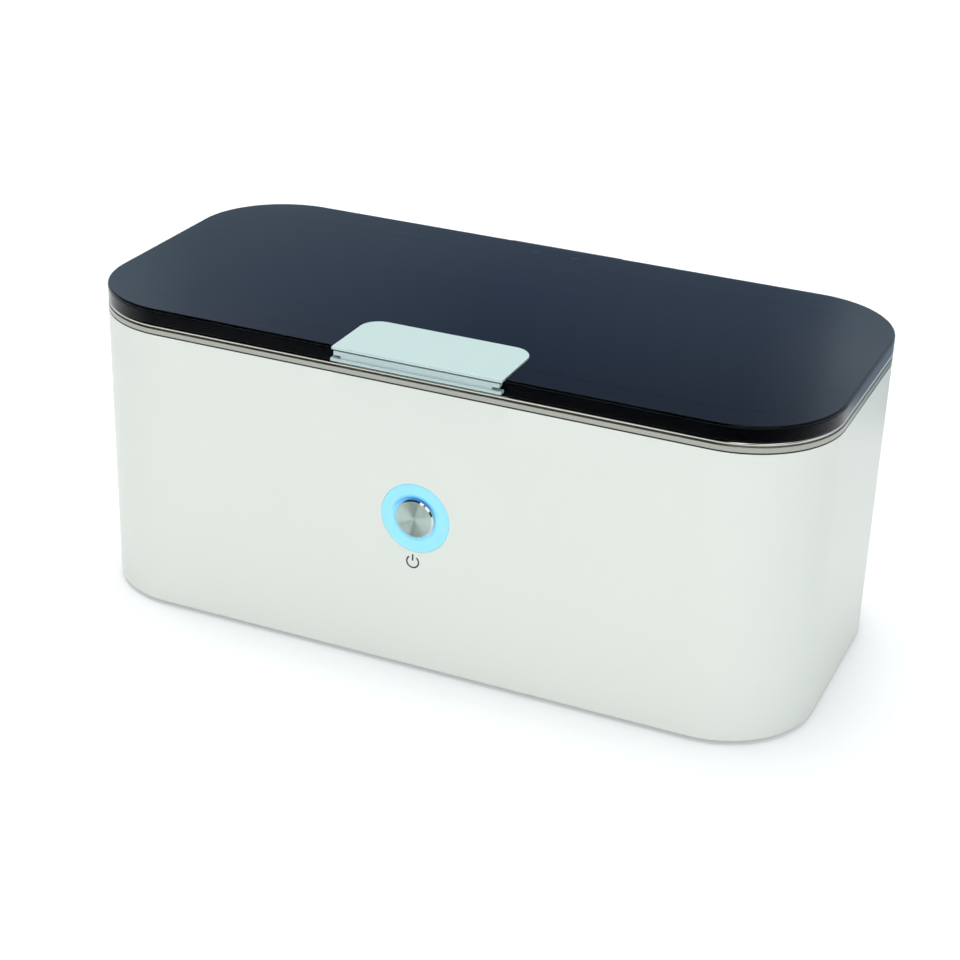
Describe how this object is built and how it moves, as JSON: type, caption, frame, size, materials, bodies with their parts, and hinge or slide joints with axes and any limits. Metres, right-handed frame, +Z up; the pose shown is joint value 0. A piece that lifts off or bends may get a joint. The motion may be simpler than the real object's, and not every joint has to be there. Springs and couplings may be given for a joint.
{
  "type": "ultrasonic jewelry cleaner",
  "caption": "Household ultrasonic cleaner for jewelry: rounded white housing with a steel tank, a smoke-tinted hinged lid, a metal trim band and a push button in a lit ring.",
  "frame": {"origin": "centre of the whole footprint, handle lip and hinge included, on the plane of the feet", "axes": "+X to the right seen from the button side, +Y to the back where the hinge is, +Z up"},
  "size_m": [0.205, 0.1042, 0.0888],
  "materials": {
    "housing_white": "satin, pigmented white",
    "base_grey": "fine texture",
    "foot_rubber": "matte",
    "seal_rubber": "matte",
    "screw_steel": "zinc plated",
    "tank_steel": "drawn, brushed",
    "trim_metal": "satin with a polished bead",
    "coupling_metal": "turned",
    "piezo": "silvered",
    "board": "solder mask",
    "core_iron": "ferrite",
    "winding_tape": "taped copper",
    "capacitor_can": "sleeved",
    "film_resin": "dipped",
    "choke_iron": "painted, wound",
    "sink_metal": "black anodised",
    "chip_resin": "moulded",
    "fuse_glass": "clear with nickel ends",
    "clip_metal": "tinned",
    "plug_nylon": "natural nylon",
    "inlet_black": "fine texture",
    "pin_brass": "nickel plated",
    "wire_sleeve": "soft sleeve",
    "ring_blue": "translucent, lit from behind",
    "led_white": "clear resin",
    "button_metal": "spun, polished edge",
    "plunger_blue": "translucent, moulded",
    "spring_steel": "bright wire",
    "lid_smoke": "smoke tinted, polished",
    "hinge_black": "black, satin",
    "handle_metal": "pale satin",
    "tape_dark": "foam tape",
    "bumper": "soft, matte"
  },
  "bodies": {
    "cleaner": {"housing_shell": "housing_white", "base_plate": "base_grey", "base_screws": "screw_steel", "foot_front_left": "foot_rubber", "foot_front_right": "foot_rubber", "foot_rear_left": "foot_rubber", "foot_rear_right": "foot_rubber", "trim_ring": "trim_metal", "tank": "tank_steel", "tank_seal": "seal_rubber", "ring_screws": "screw_steel", "coupling_plate_left": "coupling_metal", "coupling_plate_right": "coupling_metal", "piezo_disc_left": "piezo", "piezo_disc_right": "piezo", "main_board": "board", "board_screws": "screw_steel", "transformer_core": "core_iron", "transformer_winding": "winding_tape", "filter_capacitor": "capacitor_can", "film_capacitors": "film_resin", "choke": "choke_iron", "heat_sink": "sink_metal", "power_transistors": "chip_resin", "mains_fuse": "fuse_glass", "fuse_clips": "clip_metal", "board_connectors": "plug_nylon", "inlet_socket": "inlet_black", "inlet_pins": "pin_brass", "inlet_wires": "wire_sleeve", "transducer_wires": "wire_sleeve", "switch_wires": "wire_sleeve", "light_ring": "ring_blue", "switch_board": "board", "switch_board_screws": "screw_steel", "tact_switch": "chip_resin", "ring_leds": "led_white", "hinge_bracket": "hinge_black", "hinge_screws": "screw_steel", "hinge_pin": "screw_steel"},
    "lid": {"lid": "lid_smoke", "lid_bumpers": "bumper", "lid_hinge": "hinge_black", "lid_hinge_screws": "screw_steel", "handle_plate": "handle_metal", "handle_tape": "tape_dark", "handle_grip": "handle_metal", "handle_screws": "screw_steel"},
    "button": {"button_cap": "button_metal", "button_plunger": "plunger_blue", "button_spring": "spring_steel"}
  },
  "joints": [
    {"name": "lid_hinge", "type": "hinge", "parent": "cleaner", "child": "lid", "pos_m": [0, 0.04914, 0.0845], "axis": [-1, 0, 0], "range_deg": [0, 100]},
    {"name": "button_press", "type": "slide", "parent": "cleaner", "child": "button", "axis": [0, 1, 0], "range_m": [0, 0.001], "stiffness_N_per_m": 600, "springref_m": -0.001, "deforming": ["button_spring"]}
  ]
}
